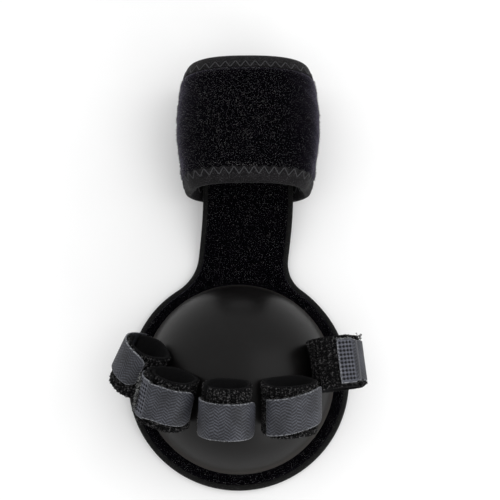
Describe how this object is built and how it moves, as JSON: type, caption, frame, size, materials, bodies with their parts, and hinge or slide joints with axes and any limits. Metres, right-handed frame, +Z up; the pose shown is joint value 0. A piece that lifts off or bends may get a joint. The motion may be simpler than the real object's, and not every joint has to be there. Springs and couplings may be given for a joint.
{
  "type": "metacarpal splint",
  "caption": "Padded hand splint for a right hand: flat bound board, half-ball palm pad, finger and thumb loops with hook tabs, wide wrist strap.",
  "frame": {"origin": "centre of the round base on its flat underside", "axes": "+Z up, away from the surface it lies on; +Y from the fingers to the wrist; +X to the thumb side"},
  "size_m": [0.1152, 0.1936, 0.0616],
  "materials": {
    "velour": "short black velour pile over foam",
    "edge_tape": "dark grey stretch binding",
    "ball": "smooth satin moulded foam skin",
    "pile_tape": "black looped pile tape",
    "hook_tape": "grey woven hook tape"
  },
  "bodies": {
    "root": {"base_board": "velour", "board_edge_tape": "edge_tape", "palm_ball": "ball", "wrist_strap": "velour", "wrist_strap_edge_tape": "edge_tape", "finger_loop_little": "pile_tape", "hook_tab_little": "hook_tape", "finger_loop_ring": "pile_tape", "hook_tab_ring": "hook_tape", "finger_loop_middle": "pile_tape", "hook_tab_middle": "hook_tape", "finger_loop_index": "pile_tape", "hook_tab_index": "hook_tape", "finger_loop_thumb": "pile_tape", "hook_tab_thumb": "hook_tape"}
  },
  "joints": []
}
